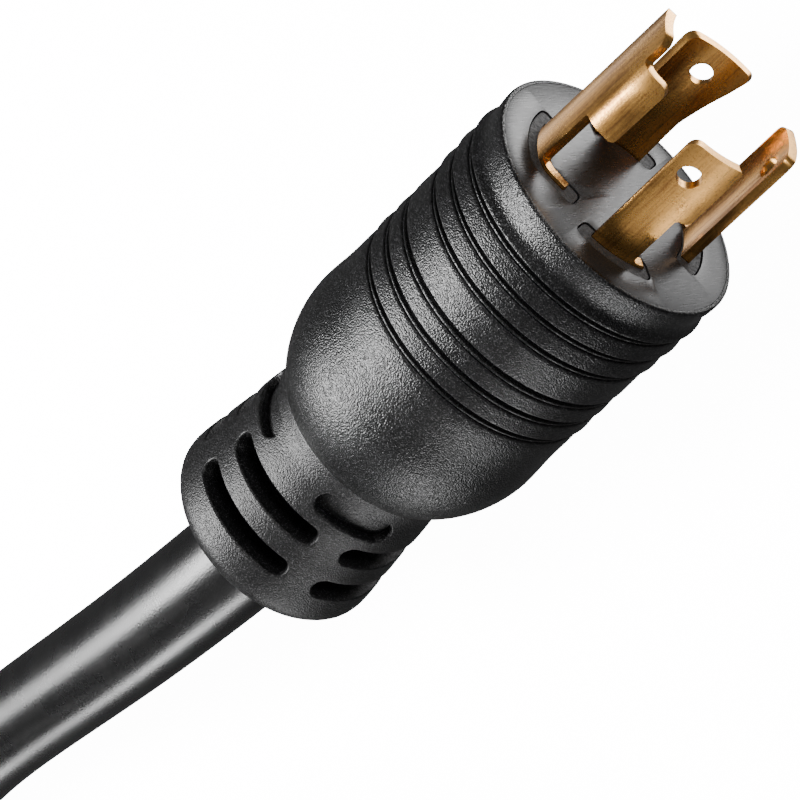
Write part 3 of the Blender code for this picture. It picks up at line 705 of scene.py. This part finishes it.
# ---- overmould --------------------------------------------------------------
def outer_profile():
    pts = [(0.0, 20.42), (0.0, 20.78), (0.05, 20.95), (0.15, 21.06), (0.35, 21.12), (1.0, 21.12),
           (1.8, 21.06), (2.6, 20.94), (3.4, 20.83), (4.0, 20.8), (4.6, 20.86), (5.1, 21.02), (5.5, 21.25),
           (5.8, 21.42), (6.05, 21.5), (6.2, 21.51), (6.3, 21.48), (6.37, 21.37)]
    starts = [b[0] for b in BANDS[1:]] + [BULB_START]
    for b, (nxt, nxt_r) in zip(BANDS, [(b[0], b[1]) for b in BANDS[1:]] + [(BULB_START, 20.92)]):
        s1, r1 = b[2], b[3]
        pts += [(s1 + 0.07, r1 - 0.45), (s1 + 0.10, 20.35), (s1 + 0.15, 20.1), (s1 + 0.24, 20.0),
                (s1 + 0.42, 19.98), (s1 + 0.58, 20.0), (s1 + 0.66, 20.08), (nxt - 0.54, nxt_r - 0.42),
                (nxt - 0.49, nxt_r - 0.24), (nxt - 0.43, nxt_r - 0.17), (nxt - 0.36, nxt_r - 0.15),
                (nxt - 0.20, nxt_r - 0.15), (nxt - 0.14, nxt_r - 0.19), (nxt - 0.10, nxt_r - 0.34),
                (nxt - 0.02, nxt_r - 0.36), (nxt + 0.03, nxt_r - 0.2), (nxt + 0.07, nxt_r - 0.05),
                (nxt + 0.14, nxt_r + 0.02)]
        nb = [c for c in BANDS if c[0] == nxt]
        if nb:
            s0, r0, e1, er = nb[0]
            for u in (0.12, 0.24, 0.36, 0.48, 0.6, 0.7, 0.78, 0.85, 0.91):
                f = 0.6 * math.sin(math.pi * u / 2) + 0.4 * u * u
                pts.append((s0 + (e1 - s0) * u, r0 + (er - r0) * f + 0.03))
            pts += [(e1 - 0.16, er + 0.0), (e1 - 0.07, er - 0.03), (e1, er - 0.12), (e1 + 0.05, er - 0.25)]
    for s, r in ((32.4, 21.0), (33.2, 21.1), (34.2, 21.15), (35.5, 21.16), (37.0, 21.18), (38.5, 21.25),
                 (40.0, 21.34), (41.5, 21.48), (43.0, 21.59), (44.5, BODY_R)):
        pts.append((s, r))
    for s in (45.5, 46.5, 47.5, 48.5, 49.5, 50.5, 51.5, 52.4, 53.3, 54.1, 54.9, 55.6, 56.2, 56.7, 57.1, 57.45):
        z = (s - BULB_FULL) / (BULB_TIP - BULB_FULL)
        pts.append((s, 12.2 + (BODY_R - 12.2) * (1 - z ** 1.868) ** (1 / 1.623)))
    pts += [(57.68, 16.83), (57.82, 16.66), (57.88, 16.5)]
    pts += [(57.7, 16.45), (51.0, 16.4), (50.9, 17.5), (3.4, 17.5), (3.3, 20.42)]
    return pts


LINE_AT = [math.radians(121), math.radians(301)]


def flash(s, a):
    """The mould's parting line: a small ridge over the grip bands."""
    if not 0.4 < s < 31.2:
        return 0.0
    d = min(abs((a - c + math.pi) % (2 * math.pi) - math.pi) for c in LINE_AT) * 21.0
    return (0.09 if s < 0.9 else 0.02) * math.exp(-(d / 0.15) ** 2)


body_angles = ring_angles(288, [(c, math.radians(1.9), 15) for c in LINE_AT])
profile = outer_profile()
body = revolve("grip_overmould", profile, body_angles, M_BODY,
               lambda s, a: flash(s, a), sharp=42)
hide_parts("plug_overmould")

# ---- strain relief ----------------------------------------------------------
RELIEF_R = [(56.0, 16.2), (57.6, 16.25), (57.9, 16.34), (58.4, 16.3), (59.4, 16.17), (61.0, 16.12), (62.5, 16.25),
            (64.0, 16.45), (66.0, 16.68), (68.0, 16.82), (70.0, 16.95), (72.0, 17.15), (74.0, 17.4),
            (76.0, 17.62), (78.0, 17.85), (80.0, 18.08), (81.5, 18.22), (83.0, 18.25), (84.0, 18.07),
            (85.0, 17.5), (86.0, 16.5), (86.6, 15.3), (87.1, 14.0), (87.4, 12.6), (87.55, 11.6), (87.6, 11.0)]


def relief_radius(s):
    return float(np.interp(s, [q[0] for q in RELIEF_R], [q[1] for q in RELIEF_R]))


def dense_relief():
    s = sorted({round(v, 3) for v in np.arange(56.0, 87.5, 0.5)} | {q[0] for q in RELIEF_R})
    xs = np.array([q[0] for q in RELIEF_R])
    ys = np.array([q[1] for q in RELIEF_R])
    m = np.gradient(ys, xs)
    out = []
    for v in s:     # cubic through the points, for an even shine
        i = min(max(int(np.searchsorted(xs, v, side="right")) - 1, 0), len(xs) - 2)
        h = xs[i + 1] - xs[i]
        t = (v - xs[i]) / h
        r = ((2 * t ** 3 - 3 * t * t + 1) * ys[i] + (t ** 3 - 2 * t * t + t) * h * m[i]
             + (-2 * t ** 3 + 3 * t * t) * ys[i + 1] + (t ** 3 - t * t) * h * m[i + 1])
        out.append((v, float(r)))
    return out


def slot_cutter(name, s0, s1, arc, centre, floor_r):
    """A slot with round ends, straight walls and an eased rim, bent round X."""
    sm, h0 = (s0 + s1) / 2, (s1 - s0) / 2
    rm = relief_radius(sm)
    half = math.radians(arc / 2) * rm - h0
    levels = [(None, 0.0), (-0.40, 0.0), (-0.20, 0.03), (-0.08, 0.10), (0.0, 0.22), (0.08, 0.40), (0.7, 0.75)]
    verts, faces, rows = [], [], []
    tips = [math.radians(90 * i / 9) for i in range(9, 0, -1)]
    for drop, grow in levels:
        h = h0 + grow
        samples = ([(-half - h * math.sin(a), h * math.cos(a)) for a in tips]
                   + [(-half + 2 * half * i / 30, h) for i in range(31)]
                   + [(half + h * math.sin(a), h * math.cos(a)) for a in tips[::-1]])
        row = []
        for t, w in samples:
            pair = []
            for sign in ((1,) if w < 1e-6 else (1, -1)):
                s = sm + sign * w
                r = floor_r if drop is None else relief_radius(s) + drop
                a = centre + t / rm
                pair.append(len(verts))
                verts.append((-s * MM, r * math.cos(a) * MM, r * math.sin(a) * MM))
            row.append(pair if len(pair) == 2 else pair * 2)
        rows.append(row)

    def quad(*q):
        q = [v for i, v in enumerate(q) if v not in q[:i]]
        if len(q) > 2:
            faces.append(q)

    for row in (rows[0], rows[-1]):
        for a, b in zip(row, row[1:]):
            quad(a[0], a[1], b[1], b[0])
    for lo, hi in zip(rows, rows[1:]):
        for side in (0, 1):
            for (a, b), (c, d) in zip(zip(lo, lo[1:]), zip(hi, hi[1:])):
                quad(a[side], b[side], d[side], c[side])
    return mesh_object(name, verts, faces, None, False)


relief_profile = dense_relief() + [(87.6, 9.75), (87.52, 9.5), (87.3, 9.36), (56.0, 9.36)]
relief = revolve("strain_relief_sleeve", relief_profile, ring_angles(240), M_RELIEF, sharp=38)
cutters = []
for s0, s1, arc, first in SLOT_ROWS:
    for k in range(4):
        cutters.append(slot_cutter("slot", s0, s1, arc, math.radians(first + 90 * k),
                                   15.15 if s0 < 62 else SLOT_FLOOR_R))
cut(relief, join_meshes("slots", cutters), sharp=38)
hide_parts("plug_strain_relief")


# ---- plan paths of the blades -----------------------------------------------
class Chain:
    """A plane path of joined arcs, (length, radius) each, turning to the left."""

    def __init__(self, radius, start_deg, spans):
        a = math.radians(start_deg)
        self.p0 = np.array([radius * math.cos(a), radius * math.sin(a)])
        self.h0 = a + math.pi / 2
        self.spans = spans
        self.length = sum(l for l, _ in spans)

    def at(self, t):
        p, h, left = self.p0.copy(), self.h0, t
        for i, (l, r) in enumerate(self.spans):
            last = i == len(self.spans) - 1
            d = left if (last or left < l) else l
            if r is None:
                p = p + d * np.array([math.cos(h), math.sin(h)])
            else:
                p = p + r * np.array([math.sin(h + d / r) - math.sin(h),
                                      math.cos(h) - math.cos(h + d / r)])
                h = h + d / r
            left -= d
            if last or left <= 1e-9:
                break
        return p, np.array([math.sin(h), -math.cos(h)])

    def knots(self, step_deg=2.0, tight=8.0):
        out, t = [0.0], 0.0
        for l, r in self.spans:
            n = 1 if r is None else max(1, round(math.degrees(l / r) / (step_deg if r > 5 else tight)))
            out += [t + l * (i + 1) / n for i in range(n)]
            t += l
        return out


def line_chain(first_deg, radius=BLADE_R, span=39.5):
    return Chain(radius, first_deg, [(math.radians(span) * radius, radius)])


EAR_BEND = math.radians(52.1)


def ground_chain(offset=0.0, tail=3.2, first=23.0, bend=1.8):
    r = GROUND_R + offset
    back = (bend - 1.8) * math.tan(EAR_BEND / 2)
    return Chain(r, first, [(math.radians(61.4 - first) * r - back, r),
                            (EAR_BEND * (bend + offset), bend + offset), (tail - back, None)])


BLADES = {"line_x": line_chain(117.6, span=38.9), "line_y": line_chain(207.0, radius=13.3),
          "neutral": line_chain(297.5),
          "ground": ground_chain(bend=3.2)}
CENTRE_DEG = {"line_x": 135.0, "line_y": 225.0, "neutral": 315.0, "ground": 45.0}


def window_chain(first):
    return Chain(13.9, first, [(math.radians(52.5) * 13.9, 13.9)])


WINDOWS = {"line_x": (window_chain(108.0), 2.0), "line_y": (window_chain(198.0), 2.0),
           "neutral": (window_chain(288.0), 2.0), "ground": (ground_chain(0.65, 5.6, 13.5), 2.0)}


def band_outline(chain, lo, hi, n0, n1, corner=1.2, mirror=False):
    """Outline of a strip along a chain with round corners, as (y, z) in mm."""
    ts = [t for t in chain.knots() if lo + corner < t < hi - corner]

    def point(t, n):
        p, nn = chain.at(t)
        q = p + nn * n
        return (-q[0] if mirror else q[0], q[1])

    def arc(ct, cn, a0):
        return [point(ct + corner * math.cos(a0 - math.pi / 2 * i / 5),
                      cn + corner * math.sin(a0 - math.pi / 2 * i / 5)) for i in range(6)]

    pts = [point(t, n1) for t in ts]
    pts += arc(hi - corner, n1 - corner, math.pi / 2)
    pts += arc(hi - corner, n0 + corner, 0)
    pts += [point(t, n0) for t in ts[::-1]]
    pts += arc(lo + corner, n0 + corner, -math.pi / 2)
    pts += arc(lo + corner, n1 - corner, math.pi)
    return pts


OUTLINE_TO_X = Matrix(((0, 0, 1, 0), (1, 0, 0, 0), (0, 1, 0, 0), (0, 0, 0, 1)))


def filled(name, outlines, half):
    cu = bpy.data.curves.new(name, "CURVE")
    cu.dimensions = "2D"
    cu.fill_mode = "BOTH"
    cu.extrude = half
    for pts in outlines:
        sp = cu.splines.new("POLY")
        sp.points.add(len(pts) - 1)
        for p, (a, b) in zip(sp.points, pts):
            p.co = (a, b, 0, 1)
        sp.use_cyclic_u = True
    tmp = put(bpy.data.objects.new(name, cu))
    bpy.context.view_layer.update()
    me = bpy.data.meshes.new_from_object(tmp.evaluated_get(bpy.context.evaluated_depsgraph_get()))
    bpy.data.objects.remove(tmp, do_unlink=True)
    bpy.data.curves.remove(cu)
    bm = bmesh.new()
    bm.from_mesh(me)
    bmesh.ops.remove_doubles(bm, verts=bm.verts, dist=1e-9 if half < 0.01 else 1e-6)
    bmesh.ops.recalc_face_normals(bm, faces=bm.faces[:])
    bm.to_mesh(me)
    bm.free()
    return put(bpy.data.objects.new(name, me))


def prism(name, outlines, s0, s1):
    # drawn in mm and scaled down after, so that fine points stay apart
    ob = filled(name, outlines, abs(s1 - s0) / 2)
    ob.data.transform(Matrix.Translation((-(s0 + s1) / 2 * MM, 0, 0)) @ OUTLINE_TO_X @ Matrix.Scale(MM, 4))
    return ob


def bevel(ob, width, segments=2, angle=40.0):
    m = ob.modifiers.new("edge", "BEVEL")
    m.width = width
    m.segments = segments
    m.limit_method = "ANGLE"
    m.angle_limit = math.radians(angle)
    m.use_clamp_overlap = True
    return applied(ob)


# ---- face plate and holder --------------------------------------------------
def disc_profile(front, back, radius, edge):
    return [(front, 0), (front, radius * 0.5), (front, radius - edge), (front + edge * 0.3, radius - edge * 0.3),
            (front + edge, radius), (back, radius), (back, radius * 0.5), (back, 0)]


plate = revolve("face_disc", disc_profile(0.04, 3.0, 20.39, 0.06), ring_angles(288), M_FACE, closed=False)
cut(plate, join_meshes("windows", [prism("window", [band_outline(c, 0, c.length, -w, w, 1.2)], -1, 4)
                                   for c, w in WINDOWS.values()]), sharp=40)
bevel(plate, 0.00009, 2, 50)
shade(plate, 40)
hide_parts("plug_face_plate")

holder = revolve("blade_holder_pads", disc_profile(3.3, 10.0, 17.2, 0.3), ring_angles(96), M_PAD, closed=False)
cut(holder, join_meshes("pads", [prism("pad", [band_outline(c, 0.25, c.length - 0.25, -w + 0.25, w - 0.25, 0.95)],
                                       0.22, 5.0) for c, w in WINDOWS.values()]), "UNION", 40)
cut(holder, join_meshes("slits", [prism("slit", [band_outline(c, -0.12, c.length + 0.12, -0.86, 0.86, 0.3)],
                                        -1, 11) for c in BLADES.values()]), sharp=40)
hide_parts("plug_blade_holder")


# ---- blades -----------------------------------------------------------------
def fillet(points, radii, seg=6):
    """A closed polygon with its corners rounded; radii gives one per corner."""
    out = []
    n = len(points)
    for i, (p, r) in enumerate(zip(points, radii)):
        p = np.array(p, float)
        if r <= 0:
            out.append(tuple(p))
            continue
        a = np.array(points[i - 1], float) - p
        b = np.array(points[(i + 1) % n], float) - p
        la, lb = np.linalg.norm(a), np.linalg.norm(b)
        a, b = a / la, b / lb
        ang = math.acos(max(-1, min(1, a @ b)))
        d = min(r / math.tan(ang / 2), la * 0.49, lb * 0.49)
        r = d * math.tan(ang / 2)
        c = p + (a + b) / np.linalg.norm(a + b) * (r / math.sin(ang / 2))
        v0, v1 = p + a * d - c, p + b * d - c
        a0, a1 = math.atan2(v0[1], v0[0]), math.atan2(v1[1], v1[0])
        da = (a1 - a0 + math.pi) % (2 * math.pi) - math.pi
        out += [(c[0] + r * math.cos(a0 + da * k / seg), c[1] + r * math.sin(a0 + da * k / seg))
                for k in range(seg + 1)]
    return out


def hole(cx, cy, r, n=28):
    return [(cx + r * math.cos(2 * math.pi * i / n), cy - r * math.sin(2 * math.pi * i / n)) for i in range(n)]


def bent_blade(name, outlines, chain, lean=(0.0, 0.0), extra=(), edge=0.28):
    ob = filled(name, outlines, BLADE_T / 2)
    bm = bmesh.new()
    bm.from_mesh(ob.data)
    cuts = [t for t in chain.knots(2.2, 6.5) if t > 0.01] + list(extra)
    for t in sorted(cuts):
        bmesh.ops.bisect_plane(bm, geom=bm.verts[:] + bm.edges[:] + bm.faces[:], dist=1e-4,
                               plane_co=(t, 0, 0), plane_no=(1, 0, 0))
    bm.to_mesh(ob.data)
    bm.free()
    m = ob.modifiers.new("edge", "BEVEL")
    m.width = edge
    m.segments = 3
    m.limit_method = "ANGLE"
    m.angle_limit = math.radians(55)
    m.use_clamp_overlap = True
    applied(ob)
    for f in ob.data.polygons:
        # the sheared rims take the second material, whose pale colour is a painted reflection
        f.material_index = 0 if abs(f.normal.z) > 0.9 or f.center.y < 0.2 else 1
    for v in ob.data.vertices:
        t, x, n = v.co
        p, nn = chain.at(t)
        p = p + nn * n + np.array(lean) * max(x, 0.0)
        v.co = (x * MM, p[0] * MM, p[1] * MM)
    bm = bmesh.new()
    bm.from_mesh(ob.data)
    bmesh.ops.recalc_face_normals(bm, faces=bm.faces[:])
    bm.to_mesh(ob.data)
    bm.free()
    return ob


def crimp_barrel(kind):
    a = math.radians(CENTRE_DEG[kind])
    ob = revolve("barrel", [(11.0, 2.85), (20.0, 2.85), (20.0, 1.8), (11.0, 1.8)], ring_angles(32))
    ob.data.transform(Matrix.Translation((0, 10.3 * math.cos(a) * MM, 10.3 * math.sin(a) * MM)))
    return ob


def blade(kind):
    ch = BLADES[kind]
    L = ch.length
    if kind == "ground":
        ear = ch.spans[0][0] + 0.2
        mid = ch.spans[0][0] / 2
        pts = [(0, -3), (0, GROUND_L), (ear, GROUND_L), (ear, 21.7), (L, 21.7), (L, 10.0), (ear, 10.0),
               (ear, 0.3), (L, 0.3), (L, -3)]
        rad = [0, 1.5, 1.6, 0.6, 1.4, 1.0, 0.5, 0.5, 0.3, 0]
    elif kind == "neutral":
        mid = L / 2
        k = math.radians(1) * BLADE_R
        notch = L * (30.0 / 39.5)
        lead = [(0, 8.4), (-0.5 * k, 9.3), (-1.2 * k, 10.2), (-2.4 * k, 11.5), (-3.9 * k, 13.1), (-5.5 * k, 14.6),
                (-7.4 * k, 16.1), (-9.0 * k, 17.4), (-10.3 * k, 18.7)]
        tip = BLADE_L[kind]
        pts = [(0, -3)] + lead + [(-12.2 * k, 20.6), (-10.4 * k, tip), (L, tip), (L, 9.6), (notch, 9.6),
                                  (notch, 0.3), (L, 0.3), (L, -3)]
        rad = [0] + [0] * len(lead) + [1.5, 1.3, 1.5, 0.6, 0.4, 0.5, 0.3, 0]
    else:
        mid = L / 2
        notch = L * (30.0 / 39.5)
        tip = BLADE_L[kind]
        pts = [(0, -3), (0, tip), (L, tip), (L, 9.6), (notch, 9.6), (notch, 0.3), (L, 0.3), (L, -3)]
        rad = [0, 1.6, 0.8 if kind == "line_x" else 1.45, 0.7, 0.5, 0.5, 0.3, 0]
    pts += [(mid + 3.3, -3), (mid + 3.3, -14), (mid - 3.3, -14), (mid - 3.3, -3)]
    rad += [0.5, 0.3, 0.3, 0.5]
    outlines = [fillet(pts, rad)]
    if kind != "ground":
        outlines.append(hole(math.radians(HOLE[kind][0]) * BLADE_R, HOLE[kind][1], 1.77))
    a = math.radians(41)
    lean = (-0.027 * math.cos(a), -0.027 * math.sin(a)) if kind == "ground" else (0, 0)
    extra = [-1.9, -1.4, -0.9, -0.4] if kind == "neutral" else []
    ob = bent_blade("contact_blade_" + kind, outlines, ch, lean, extra)
    ob = join_meshes("contact_blade_" + kind, [ob, crimp_barrel(kind)])
    ob.data.materials.clear()
    ob.data.materials.append(M_BLADE)
    ob.data.materials.append(M_EDGE_PAINTED_REFLECTION)
    shade(ob, 32)
    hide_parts("blade_" + kind)
    return ob


blades = [blade(k) for k in BLADES]

# ---- connector on the far end -----------------------------------------------
to_conn = Matrix.Translation(at_connector(END_LEN * MM)) @ Matrix.Rotation(CONN_YAW, 4, "Z")


def copy_to_connector(ob, name):
    me = ob.data.copy()
    me.transform(to_conn)
    return put(bpy.data.objects.new(name, me))


conn_body = copy_to_connector(body, "connector_grip_overmould")
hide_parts("connector_overmould")
conn_relief = copy_to_connector(relief, "connector_relief_sleeve")
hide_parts("connector_strain_relief")
conn_face = revolve("connector_face_disc", disc_profile(0.04, 3.0, 20.28, 0.14), ring_angles(288), M_FACE,
                    closed=False)
cut(conn_face, join_meshes("mouths", [prism("mouth", [band_outline(c, -0.45, c.length + 0.45, -1.15, 1.15, 0.5,
                                                                   mirror=True)], -1, 4)
                                      for c in BLADES.values()]), sharp=40)
bevel(conn_face, 0.00015, 2, 50)
conn_face.data.transform(to_conn)
shade(conn_face, 40)
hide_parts("connector_face_plate")

for ob, name in ((body, "overmould"), (relief, "strain_relief"), (plate, "face_plate"), (holder, "holder"),
                 (conn_body, "overmould"), (conn_relief, "strain_relief"), (conn_face, "face_plate"),
                 *((b, "blade") for b in blades)):
    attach(ob, "root")

# ---- floor, light -----------------------------------------------------------
floor = mesh_object("floor", [(-4, -4, FLOOR_Z - 0.00005), (4, -4, FLOOR_Z - 0.00005),
                              (4, 4, FLOOR_Z - 0.00005), (-4, 4, FLOOR_Z - 0.00005)], [(0, 1, 2, 3)], None, False)
fm = bpy.data.materials.new("floor_white")
fm.use_nodes = True
fb = fm.node_tree.nodes["Principled BSDF"]
fb.inputs["Base Color"].default_value = (0.9, 0.9, 0.9, 1)
fb.inputs["Roughness"].default_value = 0.9
fb.inputs["Emission Color"].default_value = (1, 1, 1, 1)
fb.inputs["Emission Strength"].default_value = 14.0
floor.data.materials.append(fm)
floor.visible_glossy = False
floor.visible_diffuse = False

world = bpy.data.worlds.new("studio")
world.use_nodes = True
bg = world.node_tree.nodes["Background"]
bg.inputs["Color"].default_value = (1, 1, 1, 1)
bg.inputs["Strength"].default_value = 0.09
scene.world = world


def softbox(name, direction, distance, size, power, aim=(-0.03, 0.0, 0.0), size_y=None):
    d = Vector(direction).normalized()
    data = bpy.data.lights.new(name, "AREA")
    data.shape = "RECTANGLE"
    data.size = size
    data.size_y = size_y or size
    data.energy = power
    ob = bpy.data.objects.new(name, data)
    scene.collection.objects.link(ob)
    ob.location = Vector(aim) + d * distance
    ob.rotation_euler = d.to_track_quat("Z", "Y").to_euler()
    return ob


key = softbox("key", (-0.60, 0.320, 0.731), 1.2, 0.6, 38, size_y=0.42)
low = softbox("low_strip", (-0.70, -0.71, -0.03), 1.2, 0.62, 6.5, size_y=0.2)
fill = softbox("fill", (-0.56, -0.72, 0.40), 1.2, 1.0, 0.85, size_y=0.6)
table = softbox("table_glow", (0.5535, 0.298, -0.7776), 0.7, 0.42, 1.55)
glint = softbox("face_glint", (0.5535, 0.298, -0.7776), 0.10, 0.04, 0.026, aim=(0.0, 0.017, 0.007))
side = softbox("brass_side", (-0.60, 0.74, -0.30), 1.0, 0.5, 1.15)
front = softbox("front", (0.9, -0.1, 0.5), 1.4, 0.5, 8)
key_cable = softbox("key_cable", (-0.80, 0.33, 0.50), 1.2, 0.4, 5.5, aim=(-0.15, 0.0, -0.01), size_y=0.28)
low_cable = softbox("low_cable", (-0.84, -0.527, -0.122), 1.2, 0.4, 2.3, aim=(-0.15, 0.0, -0.01), size_y=0.16)

# the cable's own turns and the floor don't stand in the way of the low lights
clear = bpy.data.collections.new("out_of_the_light")
for ob in (floor, cable, tie_1, tie_2, conn_body, conn_relief, conn_face):
    clear.objects.link(ob)
for entry in clear.collection_objects:
    entry.light_linking.link_state = "EXCLUDE"
for lamp in (low, fill, table, glint, key_cable, low_cable):
    lamp.light_linking.blocker_collection = clear
# and the side light only warms the blades
brass_only = bpy.data.collections.new("blades_in_the_side_light")
past_the_plug = bpy.data.collections.new("out_of_the_side_light")
for b in blades:
    brass_only.objects.link(b)
for ob in (floor, cable, tie_1, tie_2, conn_body, conn_relief, conn_face, body, relief, plate, holder):
    past_the_plug.objects.link(ob)
for entry in past_the_plug.collection_objects:
    entry.light_linking.link_state = "EXCLUDE"
side.light_linking.receiver_collection = brass_only
# these two carry the highlights on along the bent cable
cable_only = bpy.data.collections.new("cable_in_its_own_light")
cable_only.objects.link(cable)
for lamp in (key_cable, low_cable):
    lamp.light_linking.receiver_collection = cable_only
side.light_linking.blocker_collection = past_the_plug
